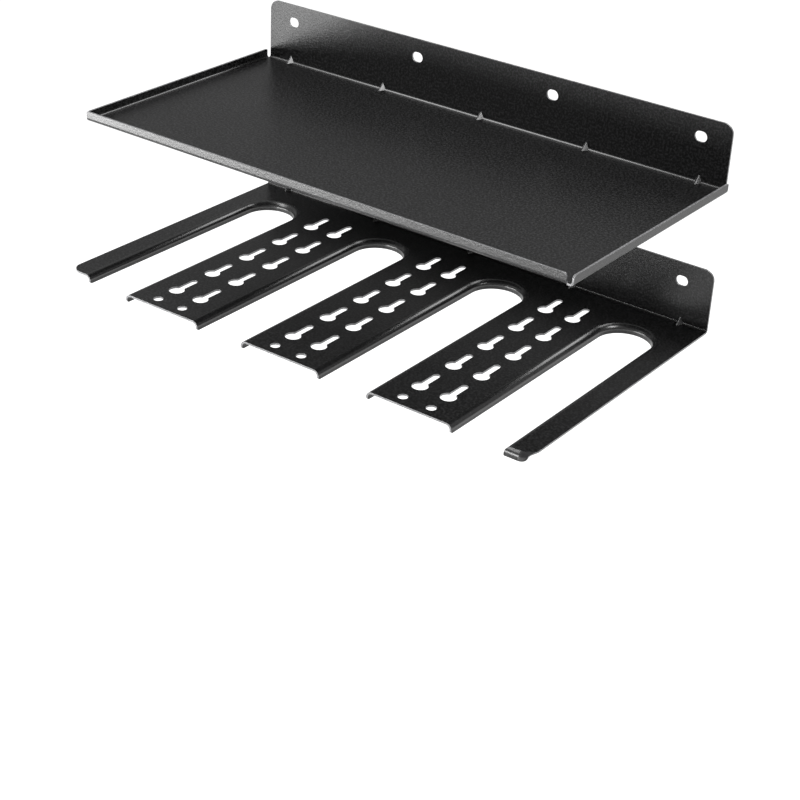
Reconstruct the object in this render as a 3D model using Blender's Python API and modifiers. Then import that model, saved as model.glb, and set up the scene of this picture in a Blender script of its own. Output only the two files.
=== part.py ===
"""Wall rack for power tools: a lipped tray above a slotted shelf, each folded from one steel sheet.

Metres, +Z up. The wall is the plane y = 0 and the shelves reach out towards -Y.
The origin is on the wall, in the middle of the tray's row of screw holes.
"""

import math

import bmesh
import bpy
from mathutils import Matrix, Vector

# Sheet and folds
SHEET = 0.0015
FOLD_RADIUS = 0.0015
RIM_INNER_RADIUS = 0.0030
BEND_STEPS = 4
ARC_STEPS = 24
CORNER_STEPS = 6
CUT_OVERRUN = 0.002

# Both shelves
RACK_LENGTH = 0.430
FLOOR_SPACING = 0.113
FLANGE_HEIGHT = 0.050
FLANGE_CORNER = 0.008

# Screw holes in both flanges
WALL_HOLES = 4
WALL_HOLE_INSET = 0.0275
WALL_HOLE_DROP = 0.0145
WALL_HOLE_WIDTH = 0.010
WALL_HOLE_HEIGHT = 0.008

# Darts pressed into the fold between floor and flange
DARTS = 5
DART_INSET = 0.025
DART_REACH = 0.006
DART_WIDTH = 0.008

# Tray
TRAY_DEPTH = 0.210
LIP_STRAIGHT = 0.0048
OPEN_LIP_CORNER = 0.0025
CLOSE_LIP_CORNER = 0.001
LIP_END_GAP = 0.001
LIP_SEAM = 0.0003
LIP_REAR_GAP = 0.002
LIP_END_SETBACK = 0.003

# Slotted shelf
SHELF_LENGTH = 0.426
SHELF_DEPTH = 0.240
SLOTS = 4
SLOT_WIDTH = 0.042
SLOT_END_SETBACK = 0.030
STRIP_WIDTH = 0.021
STRIP_CORNER = 0.010
RIM_STRAIGHT = 0.0025
RIM_CORNER = 0.002

# Tool holes between the slots
KEYHOLE_ROWS = 5
KEYHOLE_WALL_SETBACK = 0.050
KEYHOLE_FRONT_SETBACK = 0.030
COLUMN_SPACING = 0.024
KEYHOLE_DIAMETER = 0.012
STEM_WIDTH = 0.0055
STEM_REACH = 0.022
DRIVER_HOLE_DIAMETER = 0.0075
DRIVER_HOLE_SETBACK = 0.010

# Finish
COAT_COLOUR = (0.022, 0.022, 0.023, 1.0)
COAT_ROUGHNESS = 0.50
COAT_METALLIC = 0.0

# Worked out from the sizes above
HALF_LENGTH = RACK_LENGTH / 2
SHELF_HALF = SHELF_LENGTH / 2
FOLD_SETBACK = SHEET + FOLD_RADIUS
RIM_RADIUS = RIM_INNER_RADIUS + SHEET
FLANGE_RISE = FLANGE_HEIGHT - SHEET
LIP_RISE = FOLD_RADIUS + LIP_STRAIGHT
RIM_DEPTH = RIM_RADIUS + RIM_STRAIGHT
TRAY_HALF_FLOOR = HALF_LENGTH - FOLD_SETBACK
TRAY_FRONT = FOLD_SETBACK - TRAY_DEPTH
STRIP_FRONT = RIM_RADIUS - SHELF_DEPTH
SLOT_PITCH = (SHELF_LENGTH - 2 * STRIP_WIDTH - SLOT_WIDTH) / (SLOTS - 1)
SLOT_HALF_FLOOR = SLOT_WIDTH / 2 + RIM_RADIUS
SLOT_END_Y = -SLOT_END_SETBACK - SLOT_WIDTH / 2
KEYHOLE_PITCH = (SHELF_DEPTH - KEYHOLE_WALL_SETBACK - KEYHOLE_FRONT_SETBACK) / (KEYHOLE_ROWS - 1)


def clear_scene():
    """Remove every object that a new scene starts with."""
    for item in list(bpy.data.objects):
        bpy.data.objects.remove(item, do_unlink=True)


def new_collection(name):
    """Make a collection and link it to the scene."""
    collection = bpy.data.collections.new(name)
    bpy.context.scene.collection.children.link(collection)
    return collection


def powder_coat(name):
    """Black powder coat on steel sheet."""
    material = bpy.data.materials.new(name)
    material.use_nodes = True
    shader = material.node_tree.nodes["Principled BSDF"]
    shader.inputs["Base Color"].default_value = COAT_COLOUR
    shader.inputs["Roughness"].default_value = COAT_ROUGHNESS
    shader.inputs["Metallic"].default_value = COAT_METALLIC
    return material


def evenly(count, first, last):
    """Places of a row of equal steps from first to last."""
    return [first + (last - first) * i / (count - 1) for i in range(count)]


def arc(centre, radius, start, end, steps):
    """Points on a circle in plan, from one angle to another in degrees, both ends included."""
    angles = [math.radians(a) for a in evenly(steps + 1, start, end)]
    return [Vector((centre[0] + radius * math.cos(a), centre[1] + radius * math.sin(a))) for a in angles]


def floor_face(bm, outline):
    """One flat face at z = 0 from a plan outline that runs anticlockwise."""
    verts = [bm.verts.new((point[0], point[1], 0)) for point in outline]
    bm.faces.new(verts)
    return verts


def outward_normals(chain):
    """Plan directions away from the floor, one for each vertex of an edge chain, longer at a mitred corner."""
    sides = []
    for here, there in zip(chain, chain[1:]):
        along = (there.co - here.co).normalized()
        sides.append(Vector((along.y, -along.x, 0)))
    before = sides[:1] + sides
    after = sides + sides[-1:]
    return [(a + b) / (1 + a.dot(b)) for a, b in zip(before, after)]


def extrude_chain(bm, chain, places):
    """Extrude a chain of boundary edges once and put its new vertices at the given places."""
    edges = [bm.edges.get((here, there)) for here, there in zip(chain, chain[1:])]
    made = set(bmesh.ops.extrude_edge_only(bm, edges=edges)["geom"])
    new_chain = []
    for vert, place in zip(chain, places):
        rung = next(e for e in vert.link_edges if e.other_vert(vert) in made)
        new_vert = rung.other_vert(vert)
        new_vert.co = place
        new_chain.append(new_vert)
    return new_chain


def fold_profile(radius, straight, share):
    """How far out and how far along the fold each step of a bend lies. A share under 1 folds less far."""
    profile = []
    for step in range(1, BEND_STEPS + 1):
        angle = math.pi / 2 * share * step / BEND_STEPS
        profile.append((radius * math.sin(angle), radius * (1 - math.cos(angle))))
    out, rise = profile[-1]
    profile.append((out + straight * share * math.cos(angle), rise + straight * share * math.sin(angle)))
    return profile


def turn_edge(bm, chain, radius, reach, way, shares=None):
    """Fold a chain of floor edges up (way 1) or down (way -1), with a round bend and a straight part."""
    outward = outward_normals(chain)
    base = [vert.co.copy() for vert in chain]
    upright = Vector((0, 0, way))
    profiles = [fold_profile(radius, reach - radius, share) for share in shares or [1] * len(chain)]
    for step in range(BEND_STEPS + 1):
        places = [b + n * p[step][0] + upright * p[step][1] for b, n, p in zip(base, outward, profiles)]
        chain = extrude_chain(bm, chain, places)
    return chain


def run_lip_on(bm, top, reach):
    """Run a lip's straight part on by a reach along Y, past the end of its fold."""
    rung = next(edge for edge in top.link_edges if abs(edge.other_vert(top).co.y - top.co.y) < SHEET / 1000)
    made = bmesh.ops.extrude_edge_only(bm, edges=[rung])["geom"]
    verts = [item for item in made if isinstance(item, bmesh.types.BMVert)]
    bmesh.ops.translate(bm, verts=verts, vec=(0, reach, 0))


def round_corners(bm, corners, radius):
    """Round the free corners of a folded part."""
    bmesh.ops.bevel(bm, geom=corners, offset=radius, offset_type="OFFSET", segments=CORNER_STEPS,
                    profile=0.5, affect="VERTICES", clamp_overlap=False, material=-1)


def sheet_object(bm, name, collection):
    """Turn an open surface, whose top face is modelled, into a piece of sheet metal."""
    bmesh.ops.recalc_face_normals(bm, faces=bm.faces)
    floor = max(bm.faces, key=lambda face: face.calc_area())
    if floor.normal.z < 0:
        bmesh.ops.reverse_faces(bm, faces=bm.faces)
    mesh = bpy.data.meshes.new(name)
    bm.to_mesh(mesh)
    bm.free()
    mesh.shade_smooth()
    mesh.set_sharp_from_angle(angle=math.radians(35))
    mesh.materials.append(powder_coat(name + "_coat"))
    piece = bpy.data.objects.new(name, mesh)
    collection.objects.link(piece)
    wall = piece.modifiers.new("sheet", "SOLIDIFY")
    wall.thickness = SHEET
    wall.offset = -1
    wall.use_even_offset = True
    wall.use_quality_normals = True
    return piece


def cutter_object(bm, name, collection):
    """A hidden shape that a Boolean reads."""
    bmesh.ops.recalc_face_normals(bm, faces=bm.faces)
    mesh = bpy.data.meshes.new(name)
    bm.to_mesh(mesh)
    bm.free()
    cutter = bpy.data.objects.new(name, mesh)
    collection.objects.link(cutter)
    cutter.display_type = "WIRE"
    cutter.hide_render = True
    return cutter


def add_boolean(piece, cutter, operation):
    """Cut or join a piece with a cutter that shares its place."""
    cutter.location = piece.location
    step = piece.modifiers.new(cutter.name, "BOOLEAN")
    step.operation = operation
    step.solver = "EXACT"
    step.object = cutter


def prism(bm, outline, place):
    """Add a closed prism on a plan outline, reaching past both faces of a sheet at z = 0."""
    verts = [bm.verts.new((point[0], point[1], CUT_OVERRUN)) for point in outline]
    top = bm.faces.new(verts)
    made = bmesh.ops.extrude_face_region(bm, geom=[top])["geom"]
    lower = [item for item in made if isinstance(item, bmesh.types.BMVert)]
    bmesh.ops.translate(bm, verts=lower, vec=(0, 0, -SHEET - 2 * CUT_OVERRUN))
    bmesh.ops.transform(bm, matrix=place, verts=verts + lower)


def oblong(width, height):
    """Outline of a hole with round ends, longer along X."""
    radius = height / 2
    reach = (width - height) / 2
    return arc((reach, 0), radius, -90, 90, CORNER_STEPS) + arc((-reach, 0), radius, 90, 270, CORNER_STEPS)


def keyhole():
    """Outline of a round hole with a narrower round-ended stem that runs towards the wall."""
    radius = KEYHOLE_DIAMETER / 2
    half_stem = STEM_WIDTH / 2
    mouth = math.degrees(math.asin(half_stem / radius))
    stem = arc((0, STEM_REACH - half_stem), half_stem, 0, 180, CORNER_STEPS)
    return stem + arc((0, 0), radius, 90 + mouth, 450 - mouth, ARC_STEPS // 2)


def wall_hole_places(floor_to_holes):
    """Upright frames of the screw holes in a flange."""
    end = HALF_LENGTH - WALL_HOLE_INSET
    tilt = Matrix.Rotation(math.pi / 2, 4, "X")
    return [Matrix.Translation((x, -SHEET, floor_to_holes)) @ tilt for x in evenly(WALL_HOLES, -end, end)]


def dart_wedges(inset, name, collection):
    """Small three-sided ridges across the fold, shifted by inset towards the outside corner."""
    bm = bmesh.new()
    end = HALF_LENGTH - DART_INSET
    corner_y = -SHEET + inset
    corner_z = -inset
    half_width = DART_WIDTH / 2 - inset
    for x in evenly(DARTS, -end, end):
        places = [
            (x, corner_y + SHEET / 2, corner_z + DART_REACH + SHEET / 2),
            (x, corner_y - DART_REACH - SHEET / 2, corner_z - SHEET / 2),
            (x - half_width, corner_y + SHEET / 2, corner_z - SHEET / 2),
            (x + half_width, corner_y + SHEET / 2, corner_z - SHEET / 2),
        ]
        verts = [bm.verts.new(place) for place in places]
        bmesh.ops.convex_hull(bm, input=verts)
    return cutter_object(bm, name, collection)


def add_flange_features(piece, extra_holes, collection):
    """Press the darts into the fold, and cut the screw holes and any other holes."""
    ridges = dart_wedges(0, piece.name + "_dart_ridges", collection)
    hollows = dart_wedges(SHEET / math.sqrt(2), piece.name + "_dart_hollows", collection)
    bm = bmesh.new()
    for place in wall_hole_places(FLANGE_RISE - WALL_HOLE_DROP):
        prism(bm, oblong(WALL_HOLE_WIDTH, WALL_HOLE_HEIGHT), place)
    for outline, x, y in extra_holes:
        prism(bm, outline, Matrix.Translation((x, y, 0)))
    holes = cutter_object(bm, piece.name + "_holes", collection)
    add_boolean(piece, ridges, "UNION")
    add_boolean(piece, hollows, "DIFFERENCE")
    add_boolean(piece, holes, "DIFFERENCE")


def add_flange(bm, chain):
    """Fold the back edge of a floor up against the wall and round its top corners."""
    top = turn_edge(bm, chain, FOLD_RADIUS, FLANGE_RISE, 1)
    round_corners(bm, [top[0], top[-1]], FLANGE_CORNER)


def build_tray(parts, cutters):
    """Flat tray with a flange on the wall and low lips on its other three sides.

    At the left corner the side lip runs on to the inside of the front lip, and a small relief is left under it.
    At the right corner the front lip stops short of the side lip.
    """
    bm = bmesh.new()
    side = TRAY_HALF_FLOOR
    back = -FOLD_SETBACK
    lip_rear = -SHEET - LIP_REAR_GAP
    tab_y = TRAY_FRONT + LIP_END_GAP
    tab_x = side - LIP_END_SETBACK + LIP_END_GAP
    outline = [
        (-side, back), (-side, lip_rear), (-side, tab_y + LIP_END_GAP), (-side, tab_y), (-HALF_LENGTH, tab_y),
        (-HALF_LENGTH, TRAY_FRONT), (side - LIP_END_SETBACK, TRAY_FRONT),
        (tab_x, TRAY_FRONT), (tab_x, -TRAY_DEPTH), (side, -TRAY_DEPTH), (side, lip_rear), (side, back),
    ]
    verts = floor_face(bm, outline)
    left, front, right = verts[1:3], verts[5:7], verts[9:11]
    left, front, right = [turn_edge(bm, chain, FOLD_RADIUS, LIP_RISE, 1) for chain in (left, front, right)]
    add_flange(bm, [verts[-1], verts[0]])
    run_lip_on(bm, left[-1], SHEET + LIP_SEAM - TRAY_DEPTH - left[-1].co.y)
    round_corners(bm, [front[-1], right[0]], min(OPEN_LIP_CORNER, LIP_STRAIGHT))
    round_corners(bm, [left[0], front[0], right[-1]], min(CLOSE_LIP_CORNER, LIP_STRAIGHT))
    tray = sheet_object(bm, "upper_tray", parts)
    tray.location = (0, 0, WALL_HOLE_DROP - FLANGE_RISE)
    add_flange_features(tray, [], cutters)
    return tray


def slot_centres():
    """Middles of the slots along the shelf."""
    end = SLOT_PITCH * (SLOTS - 1) / 2
    return evenly(SLOTS, -end, end)


def slot_outline(centre, left_front):
    """One slot of the floor's outline, without its last corner: up its left side and round its closed end."""
    left_mouth = Vector((centre - SLOT_HALF_FLOOR, left_front))
    return [left_mouth] + arc((centre, SLOT_END_Y), SLOT_HALF_FLOOR, 180, 0, ARC_STEPS)


def tool_holes():
    """Keyholes in two columns on each finger, with a pair of round holes at its front."""
    centres = slot_centres()
    rows = [-KEYHOLE_WALL_SETBACK - row * KEYHOLE_PITCH for row in range(KEYHOLE_ROWS)]
    round_outline = arc((0, 0), DRIVER_HOLE_DIAMETER / 2, 0, 360 - 360 / ARC_STEPS, ARC_STEPS - 1)
    holes = []
    for left_slot, right_slot in zip(centres, centres[1:]):
        middle = (left_slot + right_slot) / 2
        for x in (middle - COLUMN_SPACING / 2, middle + COLUMN_SPACING / 2):
            holes += [(keyhole(), x, y) for y in rows]
            holes.append((round_outline, x, DRIVER_HOLE_SETBACK - SHELF_DEPTH))
    return holes


def shelf_outline():
    """Plan of the shelf's floor, with the stretches of it whose edges fold down.

    The last rim runs on along the front of the right-hand strip, and its fold fades out round the corner.
    """
    left_x = STRIP_CORNER - SHELF_HALF
    outline = [(-SHELF_HALF, -FOLD_SETBACK)]
    outline += arc((left_x, STRIP_FRONT + STRIP_CORNER), STRIP_CORNER, 180, 270, CORNER_STEPS)
    rims = []
    for index, centre in enumerate(slot_centres()):
        start = len(outline)
        outline += slot_outline(centre, STRIP_FRONT if index == 0 else -SHELF_DEPTH)
        side = centre + SLOT_HALF_FLOOR
        if index < SLOTS - 1:
            outline.append((side, -SHELF_DEPTH))
            rims.append((start, len(outline), None))
    outline.append((side, STRIP_FRONT))
    shares = [1] * (len(outline) - start)
    for step in range(CORNER_STEPS + 1):
        share = math.cos(math.pi / 2 * step / CORNER_STEPS)
        fold = fold_profile(RIM_RADIUS, RIM_STRAIGHT, share)[-1][0]
        radius = STRIP_CORNER - fold
        angle = math.radians(270 + 90 * step / CORNER_STEPS)
        outline.append((-left_x + radius * math.cos(angle), STRIP_CORNER - SHELF_DEPTH + radius * math.sin(angle)))
        shares.append(share)
    rims.append((start, len(outline), shares))
    outline.append((SHELF_HALF, -FOLD_SETBACK))
    return outline, rims


def build_shelf(parts, cutters):
    """Comb-shaped shelf: a flange on the wall, and slots open at the front with turned-down rims."""
    bm = bmesh.new()
    outline, rims = shelf_outline()
    verts = floor_face(bm, outline)
    free_corners = []
    for start, end, shares in rims:
        edge = turn_edge(bm, verts[start:end], RIM_RADIUS, RIM_DEPTH, -1, shares)
        free_corners += [edge[0]] if shares else [edge[0], edge[-1]]
    add_flange(bm, [verts[-1], verts[0]])
    round_corners(bm, free_corners, min(RIM_CORNER, RIM_STRAIGHT))
    bmesh.ops.remove_doubles(bm, verts=bm.verts, dist=SHEET / 1000)
    shelf = sheet_object(bm, "lower_drill_shelf", parts)
    shelf.location = (0, 0, WALL_HOLE_DROP - FLANGE_RISE - FLOOR_SPACING)
    add_flange_features(shelf, tool_holes(), cutters)
    return shelf


def main():
    clear_scene()
    parts = new_collection("power_tool_rack")
    cutters = new_collection("cutters")
    build_tray(parts, cutters)
    build_shelf(parts, cutters)


main()
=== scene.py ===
"""Looks of the wall rack: two folded sheets of black powder-coated steel, under soft studio light."""

import math

import bmesh
import bpy
from mathutils import Matrix, Quaternion, Vector


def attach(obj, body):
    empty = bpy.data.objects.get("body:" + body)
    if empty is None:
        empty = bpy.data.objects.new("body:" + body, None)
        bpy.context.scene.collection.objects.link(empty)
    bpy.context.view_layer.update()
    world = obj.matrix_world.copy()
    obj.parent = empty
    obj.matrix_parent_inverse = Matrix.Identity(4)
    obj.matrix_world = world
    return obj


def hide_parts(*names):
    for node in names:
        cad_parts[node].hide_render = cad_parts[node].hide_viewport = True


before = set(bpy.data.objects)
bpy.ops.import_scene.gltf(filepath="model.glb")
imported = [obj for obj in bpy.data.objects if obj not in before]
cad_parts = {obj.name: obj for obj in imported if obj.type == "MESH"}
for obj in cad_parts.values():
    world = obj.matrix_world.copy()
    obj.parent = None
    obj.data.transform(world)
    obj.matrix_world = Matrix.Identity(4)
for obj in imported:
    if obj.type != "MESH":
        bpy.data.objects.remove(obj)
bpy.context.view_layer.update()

# Sheet and folds, in metres, with angles in degrees
SHEET = 0.0015
FOLD_RADIUS = 0.0015
RIM_INNER_RADIUS = 0.0030
BEND_STEPS = 10
ARC_STEPS = 64
CORNER_STEPS = 16
KEYHOLE_STEPS = 32
EDGE_BREAK = 0.00030
EDGE_BREAK_STEPS = 2
SHARP_ANGLE = 40
FLAT_FACE_WEIGHT = 100
TOUCHING = SHEET / 1000

# A face is flat and square to an axis where its normal reaches this share of the axis
SQUARE_FACING = 0.999

# Places of the finishes in each piece's list of materials
COAT, CUT_EDGE, BROKEN_EDGE, BEND, LIP_FACE = range(5)

# Both shelves
RACK_LENGTH = 0.430
FLOOR_SPACING = 0.113
FLANGE_HEIGHT = 0.050
FLANGE_CORNER = 0.008

# Screw holes in both flanges
WALL_HOLES = 4
WALL_HOLE_INSET = 0.0275
WALL_HOLE_DROP = 0.0145
WALL_HOLE_WIDTH = 0.010
WALL_HOLE_HEIGHT = 0.008

# Darts pressed into the fold between floor and flange
DARTS = 5
DART_INSET = 0.025
DART_REACH = 0.006
DART_WIDTH = 0.008
DART_ROUNDING = 0.0009
DART_ROUNDING_STEPS = 4

# Tray
TRAY_DEPTH = 0.210
LIP_STRAIGHT = 0.0048
OPEN_LIP_CORNER = 0.0025
CLOSE_LIP_CORNER = 0.001
LIP_END_GAP = 0.001
LIP_SEAM = 0.0003
LIP_REAR_GAP = 0.002
LIP_END_SETBACK = 0.003

# Slotted shelf
SHELF_LENGTH = 0.426
SHELF_DEPTH = 0.240
SLOTS = 4
SLOT_WIDTH = 0.042
SLOT_END_SETBACK = 0.030
STRIP_WIDTH = 0.021
STRIP_CORNER = 0.010
RIM_STRAIGHT = 0.0025
RIM_CORNER = 0.002

# Tool holes between the slots
KEYHOLE_ROWS = 5
KEYHOLE_WALL_SETBACK = 0.050
KEYHOLE_FRONT_SETBACK = 0.030
COLUMN_SPACING = 0.024
KEYHOLE_DIAMETER = 0.012
STEM_WIDTH = 0.0055
STEM_REACH = 0.022
DRIVER_HOLE_DIAMETER = 0.0075
DRIVER_HOLE_SETBACK = 0.010

# Worked out from the sizes above
HALF_LENGTH = RACK_LENGTH / 2
SHELF_HALF = SHELF_LENGTH / 2
FOLD_SETBACK = SHEET + FOLD_RADIUS
RIM_RADIUS = RIM_INNER_RADIUS + SHEET
FLANGE_RISE = FLANGE_HEIGHT - SHEET
TRAY_HALF_FLOOR = HALF_LENGTH - FOLD_SETBACK
TRAY_FRONT = FOLD_SETBACK - TRAY_DEPTH
TRAY_FLOOR_Z = WALL_HOLE_DROP - FLANGE_RISE
SHELF_FLOOR_Z = TRAY_FLOOR_Z - FLOOR_SPACING
STRIP_FRONT = RIM_RADIUS - SHELF_DEPTH
SLOT_PITCH = (SHELF_LENGTH - 2 * STRIP_WIDTH - SLOT_WIDTH) / (SLOTS - 1)
SLOT_HALF_FLOOR = SLOT_WIDTH / 2 + RIM_RADIUS
SLOT_END_Y = -SLOT_END_SETBACK - SLOT_WIDTH / 2
KEYHOLE_PITCH = (SHELF_DEPTH - KEYHOLE_WALL_SETBACK - KEYHOLE_FRONT_SETBACK) / (KEYHOLE_ROWS - 1)

UP = Vector((0, 0, 1))
WALLWARD = Vector((0, 1, 0))

# Powder coat: scales of its noise patterns, and where its speckle starts and is full. The speckle is a
# mottle in the colour; on the black coat its bright dots paint glints of the grain
GRAIN_SCALE = 620
GRAIN_DETAIL = 3
GRAIN_ROUGHNESS = 0.55
CLOUD_SCALE = 22
CLOUD_DETAIL = 3
GLOSS_CHANGE = 0.05
MOTTLE_AND_GLINT_STOPS = (0.46, 0.62)
BLUE_SHARE = 1.03

# Wear on the broken edges, made light partly as a painted highlight along them: where a patch starts and is
# full, with its colour and roughness there
WEAR_SCALE = 160
WEAR_DETAIL = 4
WEAR_STOPS = (0.42, 0.66)
WEAR_AND_HIGHLIGHT_COLOURS = ((0.15, 0.15, 0.153, 1), (0.45, 0.45, 0.457, 1))
WEAR_ROUGHNESS = (0.38, 0.22)
WEAR_INDEX = 2.2

# Floor and surroundings, with the strength that each kind of ray sees
FLOOR_Z = -0.60
FLOOR_HALF_SIZE = 6
FLOOR_GREY = 0.80
FLOOR_IN_VIEW = 0.80
FLOOR_IN_GLOSS = 0.55
WORLD_IN_VIEW = 1.0
WORLD_LIGHT = 0.30

# Soft boxes: name, place, the point it faces, width, height, watts, and roll in degrees
TRAY_BACK = (0, 0, -0.03)
RACK_MIDDLE = (0, -0.1, -0.1)
SOFT_BOXES = (
    ("high_left_box", (-0.64, -0.48, 0.92), TRAY_BACK, 0.5, 1.2, 9, 50),
    ("front_left_box", (-0.75, -1.0, 0.55), TRAY_BACK, 0.6, 0.6, 0.7, 0),
    ("low_left_box", (-0.55, -0.96, -0.24), RACK_MIDDLE, 1.0, 0.26, 8, 0),
    ("back_box", (0.25, 0.80, 0.78), RACK_MIDDLE, 0.6, 0.6, 4, 0),
    ("right_box", (0.99, -0.13, 0.63), TRAY_BACK, 0.45, 0.45, 4.5, 0),
)

# Camera, solved from the photograph: yaw, pitch and roll in degrees, and the focal length in its pixels
VIEW_ANGLES = (35.399, 29.012, 2.869)
VIEW_CENTRE = (0.00843, -0.1015, -0.23804)
VIEW_DISTANCE = 1.4179
FOCAL_PIXELS = 1807.7
PHOTO_PIXELS = 800
SENSOR_WIDTH = 36


# Sheet metal

def evenly(count, first, last):
    """Places of a row of equal steps from first to last."""
    return [first + (last - first) * i / (count - 1) for i in range(count)]


def only(kind, geom):
    """The items of one kind in what an operator returns."""
    return [item for item in geom if isinstance(item, kind)]


class Scriber:
    """Draws the outline of a sheet with straight runs and arcs, one vertex after another."""

    def __init__(self, bm, start, normal=UP):
        self.bm = bm
        self.normal = normal
        self.verts = [start if isinstance(start, bmesh.types.BMVert) else bm.verts.new(start)]
        self.edges = []

    def line(self, x=None, y=None, z=None):
        """A straight run, to a place that keeps the coordinates that aren't given."""
        made = bmesh.ops.extrude_vert_indiv(self.bm, verts=[self.verts[-1]])
        vert = made["verts"][0]
        for axis, value in enumerate((x, y, z)):
            if value is not None:
                vert.co[axis] = value
        self.edges += made["edges"]
        self.verts.append(vert)

    def turn(self, centre, degrees, steps):
        """An arc about a centre, anticlockwise seen against the normal."""
        for _ in range(steps):
            made = bmesh.ops.spin(self.bm, geom=[self.verts[-1]], cent=centre, axis=self.normal,
                                  angle=math.radians(degrees) / steps, steps=1)
            self.verts += only(bmesh.types.BMVert, made["geom_last"])
            self.edges += [self.bm.edges.get(self.verts[-2:])]

    def close(self, last=None):
        """The last straight run, back to the start or to a vertex that is there already."""
        self.edges.append(self.bm.edges.new((self.verts[-1], last or self.verts[0])))
        return self.edges


def fill(bm, edges, normal):
    """Fill an outline and leave the outlines inside it open."""
    made = bmesh.ops.triangle_fill(bm, edges=edges, use_beauty=True, normal=normal)["geom"]
    for face in only(bmesh.types.BMFace, made):
        face.normal_update()
        if face.normal.dot(normal) < 0:
            face.normal_flip()


def outward_directions(chain):
    """Plan directions away from the floor, one for each vertex of a chain, longer at a mitred corner."""
    sides = []
    for here, there in zip(chain, chain[1:]):
        along = (there.co - here.co).normalized()
        sides.append(along.cross(UP))
    before = sides[:1] + sides
    after = sides + sides[-1:]
    return [(a + b) / (1 + a.dot(b)) for a, b in zip(before, after)]


def fold_profile(radius, straight, share):
    """How far out and how far along the fold each step of a bend lies. A share under 1 folds less far."""
    profile = []
    for step in range(1, BEND_STEPS + 1):
        angle = math.pi / 2 * share * step / BEND_STEPS
        profile.append((radius * math.sin(angle), radius * (1 - math.cos(angle))))
    out, rise = profile[-1]
    profile.append((out + straight * share * math.cos(angle), rise + straight * share * math.sin(angle)))
    return profile


def fold_edge(bm, chain, radius, straight, way, shares=None):
    """Fold a chain of floor edges up (way 1) or down (way -1), with a round bend and a straight part."""
    outward = outward_directions(chain)
    base = [vert.co.copy() for vert in chain]
    profiles = [fold_profile(radius, straight, share) for share in shares or [1] * len(chain)]
    for step in range(BEND_STEPS + 1):
        edges = [bm.edges.get(pair) for pair in zip(chain, chain[1:])]
        made = set(bmesh.ops.extrude_edge_only(bm, edges=edges)["geom"])
        next_chain = []
        for vert, start, direction, profile in zip(chain, base, outward, profiles):
            rung = next(edge for edge in vert.link_edges if edge.other_vert(vert) in made)
            raised = rung.other_vert(vert)
            raised.co = start + direction * profile[step][0] + UP * profile[step][1] * way
            next_chain.append(raised)
        chain = next_chain
    return chain


def run_lip_on(bm, top, reach):
    """Run a lip's straight part on by a reach along Y, past the end of its fold."""
    rung = next(edge for edge in top.link_edges if abs(edge.other_vert(top).co.y - top.co.y) < TOUCHING)
    made = bmesh.ops.extrude_edge_only(bm, edges=[rung])["geom"]
    bmesh.ops.translate(bm, verts=only(bmesh.types.BMVert, made), vec=(0, reach, 0))


def round_corners(bm, corners, radius):
    """Round the free corners of a folded part."""
    bmesh.ops.bevel(bm, geom=corners, offset=radius, offset_type="OFFSET", segments=CORNER_STEPS // 2,
                    profile=0.5, affect="VERTICES", clamp_overlap=False, material=-1)


def raise_flange(bm, right, left):
    """Fold the floor's back edge up the wall, and leave the screw holes and top corners in the plate."""
    edge = bm.edges.get((right, left))
    pivot = (0, right.co.y, right.co.z + FOLD_RADIUS)
    made = bmesh.ops.spin(bm, geom=[edge], cent=pivot, axis=(1, 0, 0), angle=math.pi / 2, steps=BEND_STEPS)
    foot = only(bmesh.types.BMEdge, made["geom_last"])[0]
    corners = sorted(foot.verts, key=lambda vert: vert.co.x)
    top = right.co.z + FLANGE_RISE
    half = right.co.x
    face_y = foot.verts[0].co.y
    plate = Scriber(bm, corners[1], -WALLWARD)
    plate.line(z=top - FLANGE_CORNER)
    plate.turn((half - FLANGE_CORNER, face_y, top - FLANGE_CORNER), 90, CORNER_STEPS)
    plate.line(x=FLANGE_CORNER - half)
    plate.turn((FLANGE_CORNER - half, face_y, top - FLANGE_CORNER), 90, CORNER_STEPS)
    edges = plate.close(corners[0]) + [foot]
    end = HALF_LENGTH - WALL_HOLE_INSET
    radius = WALL_HOLE_HEIGHT / 2
    reach = (WALL_HOLE_WIDTH - WALL_HOLE_HEIGHT) / 2
    hole_z = top - WALL_HOLE_DROP
    for x in evenly(WALL_HOLES, -end, end):
        hole = Scriber(bm, (x + reach, face_y, hole_z - radius), -WALLWARD)
        hole.turn((x + reach, face_y, hole_z), 180, CORNER_STEPS)
        hole.line(x=x - reach)
        hole.turn((x - reach, face_y, hole_z), 180, CORNER_STEPS)
        edges += hole.close()
    fill(bm, edges, -WALLWARD)


def dart_ridges(inset, floor_z):
    """Small three-sided ridges across the fold, shifted by inset towards the outside corner."""
    bm = bmesh.new()
    end = HALF_LENGTH - DART_INSET
    corner_y = -SHEET + inset
    corner_z = floor_z - inset
    half_width = DART_WIDTH / 2 - inset
    for x in evenly(DARTS, -end, end):
        places = [
            (x, corner_y + SHEET / 2, corner_z + DART_REACH + SHEET / 2),
            (x, corner_y - DART_REACH - SHEET / 2, corner_z - SHEET / 2),
            (x - half_width, corner_y + SHEET / 2, corner_z - SHEET / 2),
            (x + half_width, corner_y + SHEET / 2, corner_z - SHEET / 2),
        ]
        verts = [bm.verts.new(place) for place in places]
        bmesh.ops.convex_hull(bm, input=verts)
        spine = bm.edges.get(verts[:2])
        if inset == 0:
            bmesh.ops.bevel(bm, geom=[spine], offset=DART_ROUNDING, segments=DART_ROUNDING_STEPS,
                            profile=0.5, affect="EDGES", clamp_overlap=True, material=-1)
    return loose_object(bm, "dart_shape")


def loose_object(bm, name):
    """An object made from a bmesh, with its faces pointing out."""
    bmesh.ops.recalc_face_normals(bm, faces=bm.faces)
    mesh = bpy.data.meshes.new(name)
    bm.to_mesh(mesh)
    bm.free()
    piece = bpy.data.objects.new(name, mesh)
    bpy.context.scene.collection.objects.link(piece)
    return piece


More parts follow.
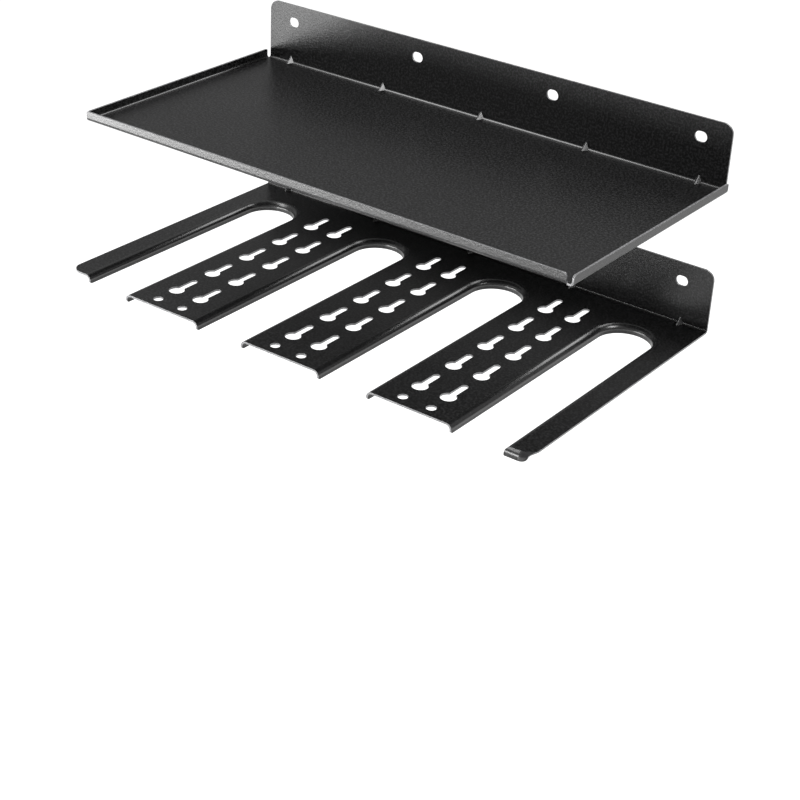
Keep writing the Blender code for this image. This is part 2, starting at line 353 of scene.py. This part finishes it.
def apply_modifiers(piece):
    """Turn what the modifiers make into the piece's own mesh."""
    graph = bpy.context.evaluated_depsgraph_get()
    mesh = bpy.data.meshes.new_from_object(piece.evaluated_get(graph))
    piece.modifiers.clear()
    piece.data = mesh


def sheet_piece(bm, name, floor_z, finishes):
    """Turn the upper surface of a sheet into the whole sheet.

    It gets its thickness, its darts, the finishes of its cut edges and bends, and its broken edges.
    """
    mesh = bpy.data.meshes.new(name)
    bm.to_mesh(mesh)
    bm.free()
    for finish in finishes:
        mesh.materials.append(finish)
    piece = bpy.data.objects.new(name, mesh)
    bpy.context.scene.collection.objects.link(piece)
    wall = piece.modifiers.new("sheet", "SOLIDIFY")
    wall.thickness = SHEET
    wall.offset = -1
    wall.use_even_offset = True
    wall.use_quality_normals = True
    wall.material_offset_rim = CUT_EDGE
    shapes = []
    for inset, operation in ((0, "UNION"), (SHEET / math.sqrt(2), "DIFFERENCE")):
        shape = dart_ridges(inset, floor_z)
        step = piece.modifiers.new("darts", "BOOLEAN")
        step.operation = operation
        step.solver = "EXACT"
        step.object = shape
        shapes.append(shape)
    apply_modifiers(piece)
    for shape in shapes:
        bpy.data.objects.remove(shape)
    # Sloping faces, the bends and darts, take a lighter, glossier copy of the coat that paints their
    # highlights
    for face in piece.data.polygons:
        if face.material_index == COAT and 1 - SQUARE_FACING < face.normal.z < SQUARE_FACING:
            face.material_index = BEND
    piece.data.shade_smooth()
    rounding = piece.modifiers.new("broken_edges", "BEVEL")
    rounding.width = EDGE_BREAK
    rounding.segments = EDGE_BREAK_STEPS
    rounding.limit_method = "ANGLE"
    rounding.angle_limit = math.radians(SHARP_ANGLE)
    rounding.material = BROKEN_EDGE
    normals = piece.modifiers.new("flat_faces", "WEIGHTED_NORMAL")
    normals.keep_sharp = True
    normals.weight = FLAT_FACE_WEIGHT
    return piece


def tray_piece(finishes):
    """Flat tray with a flange on the wall and low lips on its other three sides.

    At the left corner the side lip runs on to the inside of the front lip, with a small relief under it.
    At the right corner the front lip stops short of the side lip. The outer faces of these two lips have a
    glossier copy of the coat, a painted sheen.
    """
    bm = bmesh.new()
    side = TRAY_HALF_FLOOR
    lip_rear = -SHEET - LIP_REAR_GAP
    tab_y = TRAY_FRONT + LIP_END_GAP
    tab_x = side - LIP_END_SETBACK + LIP_END_GAP
    plan = Scriber(bm, (-side, -FOLD_SETBACK, TRAY_FLOOR_Z))
    for y in (lip_rear, tab_y + LIP_END_GAP, tab_y):
        plan.line(y=y)
    plan.line(x=-HALF_LENGTH)
    plan.line(y=TRAY_FRONT)
    plan.line(x=side - LIP_END_SETBACK)
    plan.line(x=tab_x)
    plan.line(y=-TRAY_DEPTH)
    plan.line(x=side)
    for y in (lip_rear, -FOLD_SETBACK):
        plan.line(y=y)
    fill(bm, plan.close(), UP)
    verts = plan.verts
    chains = (verts[1:3], verts[5:7], verts[9:11])
    left, front, right = [fold_edge(bm, chain, FOLD_RADIUS, LIP_STRAIGHT, 1) for chain in chains]
    raise_flange(bm, verts[-1], verts[0])
    run_lip_on(bm, left[-1], SHEET + LIP_SEAM - TRAY_DEPTH - left[-1].co.y)
    round_corners(bm, [front[-1], right[0]], OPEN_LIP_CORNER)
    round_corners(bm, [left[0], front[0], right[-1]], CLOSE_LIP_CORNER)
    tray = sheet_piece(bm, "lipped_tray", TRAY_FLOOR_Z, finishes)
    # The outer faces of the front and right lips take the glossier copy of the coat: painted sheen
    for face in tray.data.polygons:
        on_front = face.normal.y < -SQUARE_FACING and face.center.y < SHEET / 2 - TRAY_DEPTH
        on_side = face.normal.x > SQUARE_FACING and face.center.x > HALF_LENGTH - SHEET / 2
        if face.material_index == COAT and (on_front or on_side):
            face.material_index = LIP_FACE
    return tray


def slot_centres():
    """Middles of the slots along the shelf."""
    end = SLOT_PITCH * (SLOTS - 1) / 2
    return evenly(SLOTS, -end, end)


def tool_hole_edges(bm):
    """Keyholes in two columns on each finger, with a pair of round holes at its front."""
    edges = []
    z = SHELF_FLOOR_Z
    radius = KEYHOLE_DIAMETER / 2
    half_stem = STEM_WIDTH / 2
    mouth_y = math.sqrt(radius ** 2 - half_stem ** 2)
    round_turn = 360 - 2 * math.degrees(math.asin(half_stem / radius))
    centres = slot_centres()
    for left_slot, right_slot in zip(centres, centres[1:]):
        middle = (left_slot + right_slot) / 2
        for x in (middle - COLUMN_SPACING / 2, middle + COLUMN_SPACING / 2):
            for row in range(KEYHOLE_ROWS):
                y = -KEYHOLE_WALL_SETBACK - row * KEYHOLE_PITCH
                hole = Scriber(bm, (x + half_stem, y + mouth_y, z))
                hole.line(y=y + STEM_REACH - half_stem)
                hole.turn((x, y + STEM_REACH - half_stem, z), 180, CORNER_STEPS)
                hole.line(y=y + mouth_y)
                hole.turn((x, y, z), round_turn * (1 - 1 / KEYHOLE_STEPS), KEYHOLE_STEPS - 1)
                edges += hole.close()
            y = DRIVER_HOLE_SETBACK - SHELF_DEPTH
            ring = bmesh.ops.create_circle(bm, segments=2 * CORNER_STEPS, radius=DRIVER_HOLE_DIAMETER / 2,
                                           matrix=Matrix.Translation((x, y, z)))
            edges += {edge for vert in ring["verts"] for edge in vert.link_edges}
    return edges


def shelf_piece(finishes):
    """Comb-shaped shelf: a flange on the wall, and slots open at the front with turned-down rims.

    The last rim runs on along the front of the right-hand strip, and its fold fades out round the corner.
    """
    bm = bmesh.new()
    z = SHELF_FLOOR_Z
    corner_x = SHELF_HALF - STRIP_CORNER
    plan = Scriber(bm, (-SHELF_HALF, -FOLD_SETBACK, z))
    plan.line(y=STRIP_FRONT + STRIP_CORNER)
    plan.turn((-corner_x, STRIP_FRONT + STRIP_CORNER, z), 90, CORNER_STEPS)
    rims = []
    for index, centre in enumerate(slot_centres()):
        plan.line(x=centre - SLOT_HALF_FLOOR)
        start = len(plan.verts) - 1
        plan.line(y=SLOT_END_Y)
        plan.turn((centre, SLOT_END_Y, z), -180, ARC_STEPS)
        if index < SLOTS - 1:
            plan.line(y=-SHELF_DEPTH)
            rims.append((start, len(plan.verts), None))
    plan.line(y=STRIP_FRONT)
    shares = [1] * (len(plan.verts) - start)
    for step in range(CORNER_STEPS + 1):
        turn = math.pi / 2 * step / CORNER_STEPS
        share = math.cos(turn)
        radius = STRIP_CORNER - fold_profile(RIM_RADIUS, RIM_STRAIGHT, share)[-1][0]
        fold_x = corner_x + radius * math.sin(turn)
        plan.line(x=fold_x, y=STRIP_CORNER - SHELF_DEPTH - radius * math.cos(turn))
        shares.append(share)
    rims.append((start, len(plan.verts), shares))
    plan.line(y=-FOLD_SETBACK)
    fill(bm, plan.close() + tool_hole_edges(bm), UP)
    free_corners = []
    for start, end, fading in rims:
        edge = fold_edge(bm, plan.verts[start:end], RIM_RADIUS, RIM_STRAIGHT, -1, fading)
        free_corners += [edge[0]] if fading else [edge[0], edge[-1]]
    raise_flange(bm, plan.verts[-1], plan.verts[0])
    round_corners(bm, free_corners, RIM_CORNER)
    bmesh.ops.remove_doubles(bm, verts=bm.verts, dist=TOUCHING)
    return sheet_piece(bm, "slotted_shelf", SHELF_FLOOR_Z, finishes)


# Materials

def coat_material(name, grey, roughness, grain_depth, mottle_and_glint_shares, index=1.5):
    """Powder coat: fine grain in the surface, a speckle in its colour, and a slow change of gloss across
    the sheet.

    The speckle runs from the first to the second of two shares of the coat's grey; on the black coat its
    bright dots are painted glints.
    The index is the coat's refractive index.
    """
    material = bpy.data.materials.new(name)
    material.use_nodes = True
    nodes = material.node_tree.nodes
    links = material.node_tree.links
    shader = nodes["Principled BSDF"]
    shader.inputs["IOR"].default_value = index
    place = nodes.new("ShaderNodeTexCoord")

    grain = nodes.new("ShaderNodeTexNoise")
    grain.inputs["Scale"].default_value = GRAIN_SCALE
    grain.inputs["Detail"].default_value = GRAIN_DETAIL
    grain.inputs["Roughness"].default_value = GRAIN_ROUGHNESS
    links.new(place.outputs["Object"], grain.inputs["Vector"])
    bump = nodes.new("ShaderNodeBump")
    bump.inputs["Strength"].default_value = 1.0
    bump.inputs["Distance"].default_value = grain_depth
    links.new(grain.outputs["Fac"], bump.inputs["Height"])
    links.new(bump.outputs["Normal"], shader.inputs["Normal"])

    cloud = nodes.new("ShaderNodeTexNoise")
    cloud.inputs["Scale"].default_value = CLOUD_SCALE
    cloud.inputs["Detail"].default_value = CLOUD_DETAIL
    links.new(place.outputs["Object"], cloud.inputs["Vector"])
    gloss = nodes.new("ShaderNodeMapRange")
    gloss.inputs["To Min"].default_value = roughness - GLOSS_CHANGE
    gloss.inputs["To Max"].default_value = roughness + GLOSS_CHANGE
    links.new(cloud.outputs["Fac"], gloss.inputs["Value"])
    links.new(gloss.outputs["Result"], shader.inputs["Roughness"])

    # Speckle in the colour where the grain is high: on the black coat its bright dots are painted glints
    mottle_and_glints = nodes.new("ShaderNodeValToRGB")
    for stop, position, share in zip(mottle_and_glints.color_ramp.elements, MOTTLE_AND_GLINT_STOPS, mottle_and_glint_shares):
        stop.position = position
        stop.color = (grey * share, grey * share, BLUE_SHARE * grey * share, 1)
    links.new(grain.outputs["Fac"], mottle_and_glints.inputs["Fac"])
    links.new(mottle_and_glints.outputs["Color"], shader.inputs["Base Color"])
    return material


def worn_and_highlit_edge_material():
    """Coat on the broken edges, worn lighter and smoother in patches, the lightness partly a painted
    highlight.
    """
    material = bpy.data.materials.new("rubbed_coat_and_painted_highlight_on_edges")
    material.use_nodes = True
    nodes = material.node_tree.nodes
    links = material.node_tree.links
    shader = nodes["Principled BSDF"]
    place = nodes.new("ShaderNodeTexCoord")
    patches = nodes.new("ShaderNodeTexNoise")
    patches.inputs["Scale"].default_value = WEAR_SCALE
    patches.inputs["Detail"].default_value = WEAR_DETAIL
    links.new(place.outputs["Object"], patches.inputs["Vector"])

    # Light patches where the coat is worn, which are also a painted highlight along the edges
    wear_and_highlight = nodes.new("ShaderNodeValToRGB")
    for stop, position, colour in zip(wear_and_highlight.color_ramp.elements, WEAR_STOPS, WEAR_AND_HIGHLIGHT_COLOURS):
        stop.position = position
        stop.color = colour
    links.new(patches.outputs["Fac"], wear_and_highlight.inputs["Fac"])
    links.new(wear_and_highlight.outputs["Color"], shader.inputs["Base Color"])

    shader.inputs["IOR"].default_value = WEAR_INDEX
    gloss = nodes.new("ShaderNodeMapRange")
    gloss.inputs["To Min"].default_value = WEAR_ROUGHNESS[0]
    gloss.inputs["To Max"].default_value = WEAR_ROUGHNESS[1]
    links.new(patches.outputs["Fac"], gloss.inputs["Value"])
    links.new(gloss.outputs["Result"], shader.inputs["Roughness"])
    return material


def floor_material():
    """Pale floor, lifted to white in view and somewhat less in gloss, that takes the rack's shadow."""
    material = bpy.data.materials.new("pale_floor")
    material.use_nodes = True
    nodes = material.node_tree.nodes
    links = material.node_tree.links
    nodes.clear()
    out = nodes.new("ShaderNodeOutputMaterial")
    matt = nodes.new("ShaderNodeBsdfDiffuse")
    matt.inputs["Color"].default_value = (FLOOR_GREY, FLOOR_GREY, FLOOR_GREY, 1)
    glow = nodes.new("ShaderNodeEmission")
    path = nodes.new("ShaderNodeLightPath")
    in_view = nodes.new("ShaderNodeMath")
    in_view.operation = "MULTIPLY"
    in_view.inputs[1].default_value = FLOOR_IN_VIEW
    links.new(path.outputs["Is Camera Ray"], in_view.inputs[0])
    in_gloss = nodes.new("ShaderNodeMath")
    in_gloss.operation = "MULTIPLY"
    in_gloss.inputs[1].default_value = FLOOR_IN_GLOSS
    links.new(path.outputs["Is Glossy Ray"], in_gloss.inputs[0])
    lift = nodes.new("ShaderNodeMath")
    lift.operation = "MAXIMUM"
    links.new(in_view.outputs["Value"], lift.inputs[0])
    links.new(in_gloss.outputs["Value"], lift.inputs[1])
    links.new(lift.outputs["Value"], glow.inputs["Strength"])
    both = nodes.new("ShaderNodeAddShader")
    links.new(matt.outputs["BSDF"], both.inputs[0])
    links.new(glow.outputs["Emission"], both.inputs[1])
    links.new(both.outputs["Shader"], out.inputs["Surface"])
    return material


# Stage

def build_floor():
    """A wide pale floor below the rack."""
    bm = bmesh.new()
    bmesh.ops.create_grid(bm, x_segments=1, y_segments=1, size=FLOOR_HALF_SIZE)
    bmesh.ops.translate(bm, verts=bm.verts, vec=(0, 0, FLOOR_Z))
    floor = loose_object(bm, "floor")
    floor.data.materials.append(floor_material())


def build_world():
    """Even surroundings: white to the camera, plain soft light to everything else."""
    world = bpy.data.worlds.new("studio")
    bpy.context.scene.world = world
    world.use_nodes = True
    nodes = world.node_tree.nodes
    links = world.node_tree.links
    background = nodes["Background"]
    path = nodes.new("ShaderNodeLightPath")
    strength = nodes.new("ShaderNodeMapRange")
    strength.inputs["To Min"].default_value = WORLD_LIGHT
    strength.inputs["To Max"].default_value = WORLD_IN_VIEW
    links.new(path.outputs["Is Camera Ray"], strength.inputs["Value"])
    links.new(strength.outputs["Result"], background.inputs["Strength"])
    background.inputs["Color"].default_value = (1, 1, 1, 1)


def soft_box(name, place, aim, width, height, power, roll):
    """A soft rectangular lamp that faces a point, rolled about the line to that point."""
    lamp = bpy.data.lights.new(name, "AREA")
    lamp.shape = "RECTANGLE"
    lamp.size = width
    lamp.size_y = height
    lamp.energy = power
    stand = bpy.data.objects.new(name, lamp)
    bpy.context.scene.collection.objects.link(stand)
    stand.location = place
    facing = (Vector(aim) - Vector(place)).to_track_quat("-Z", "Y")
    stand.rotation_euler = (facing @ Quaternion((0, 0, 1), math.radians(roll))).to_euler()


def build_camera():
    """The photograph's view: from the right, above and in front."""
    yaw, pitch, roll = (math.radians(angle) for angle in VIEW_ANGLES)
    back = Vector((math.sin(yaw) * math.cos(pitch), -math.cos(yaw) * math.cos(pitch), math.sin(pitch)))
    level = Vector((math.cos(yaw), math.sin(yaw), 0))
    upright = back.cross(level)
    right = level * math.cos(roll) + upright * math.sin(roll)
    top = upright * math.cos(roll) - level * math.sin(roll)
    lens = bpy.data.cameras.new("view")
    lens.sensor_width = SENSOR_WIDTH
    lens.lens = FOCAL_PIXELS / PHOTO_PIXELS * SENSOR_WIDTH
    camera = bpy.data.objects.new("view", lens)
    bpy.context.scene.collection.objects.link(camera)
    stand = Matrix.Translation(Vector(VIEW_CENTRE) + back * VIEW_DISTANCE)
    turn = Matrix((right, top, back)).transposed()
    camera.matrix_world = stand @ turn.to_4x4()
    bpy.context.scene.camera = camera


def main():
    """Make both sheets, hand them over in place of the CAD nodes, and set the stage."""
    finishes = (
        # Black coat, whose bright dots are painted glints
        coat_material("black_powder_coat", grey=0.0085, roughness=0.32, grain_depth=0.00014,
                      mottle_and_glint_shares=(0.10, 3.6)),
        # Cut edges: a thin coat, whose light grey is partly a painted highlight along the edges
        coat_material("thin_coat_and_painted_highlight_on_cut_edges", grey=0.25, roughness=0.32, grain_depth=0.00004,
                      mottle_and_glint_shares=(0.7, 1.3), index=2.0),
        worn_and_highlit_edge_material(),
        # Bends: a lighter, glossier copy of the coat, a painted highlight along the folds
        coat_material("bend_coat_with_painted_highlight", grey=0.016, roughness=0.25, grain_depth=0.00004,
                      mottle_and_glint_shares=(0.7, 1.4), index=1.85),
        # Front and right lips: a glossier copy of the coat, a painted sheen
        coat_material("lip_coat_with_painted_sheen", grey=0.010, roughness=0.25, grain_depth=0.00008,
                      mottle_and_glint_shares=(0.4, 2.0), index=1.72),
    )
    for piece, node in ((tray_piece(finishes), "upper_tray"), (shelf_piece(finishes), "lower_drill_shelf")):
        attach(piece, "root")
        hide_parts(node)
    build_floor()
    build_world()
    for box in SOFT_BOXES:
        soft_box(*box)
    build_camera()
    bpy.context.scene.view_settings.view_transform = "Standard"


main()
